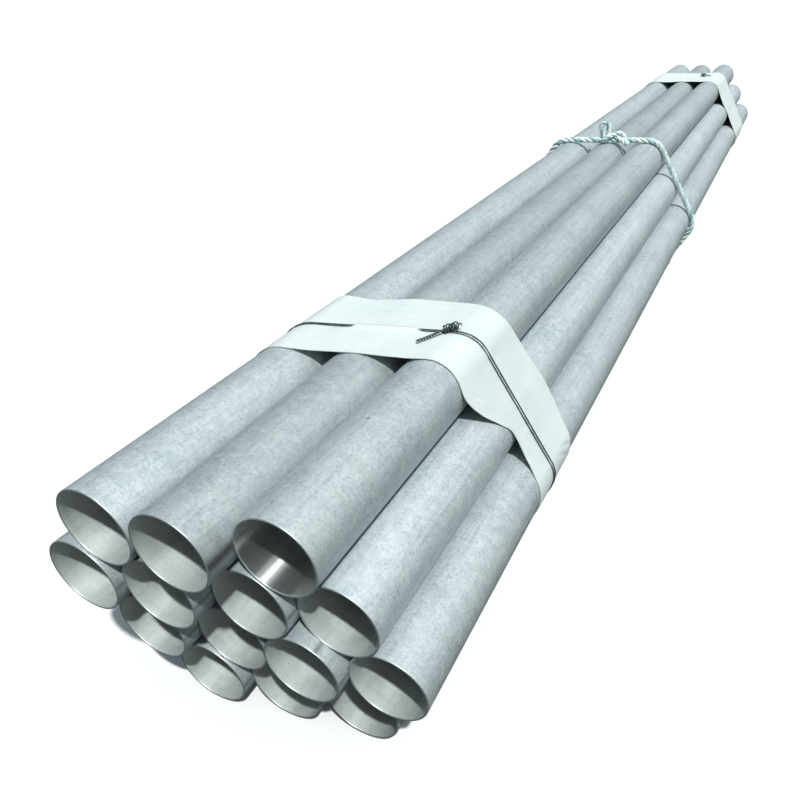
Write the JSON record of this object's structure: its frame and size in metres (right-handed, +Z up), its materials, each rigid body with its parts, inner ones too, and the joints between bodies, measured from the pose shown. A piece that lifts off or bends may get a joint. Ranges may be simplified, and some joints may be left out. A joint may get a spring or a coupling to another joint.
{
  "type": "steel pipe bundle",
  "caption": "Hexagonal bundle of matte steel pipes, tied with white cloth bands under twisted wire and a knotted rope in the middle.",
  "frame": {"origin": "middle of the bundle's bounding box, on the floor that it lies on", "axes": "+Y along the pipes away from the front ends, +X to the right seen from the front, +Z up"},
  "size_m": [0.7675, 5.922, 0.6771],
  "materials": {
    "pipe_steel": "pickled, matte",
    "tie_wire": "drawn wire",
    "wrap_cloth": "woven, matte",
    "rope_fibre": "twisted, matte"
  },
  "bodies": {
    "root": {"pipe_01": "pipe_steel", "pipe_02": "pipe_steel", "pipe_03": "pipe_steel", "pipe_04": "pipe_steel", "pipe_05": "pipe_steel", "pipe_06": "pipe_steel", "pipe_07": "pipe_steel", "pipe_08": "pipe_steel", "pipe_09": "pipe_steel", "pipe_10": "pipe_steel", "pipe_11": "pipe_steel", "pipe_12": "pipe_steel", "pipe_13": "pipe_steel", "pipe_14": "pipe_steel", "near_wrap": "wrap_cloth", "far_wrap": "wrap_cloth", "near_wire_tie": "tie_wire", "far_wire_tie": "tie_wire", "tie_rope": "rope_fibre"}
  },
  "joints": []
}
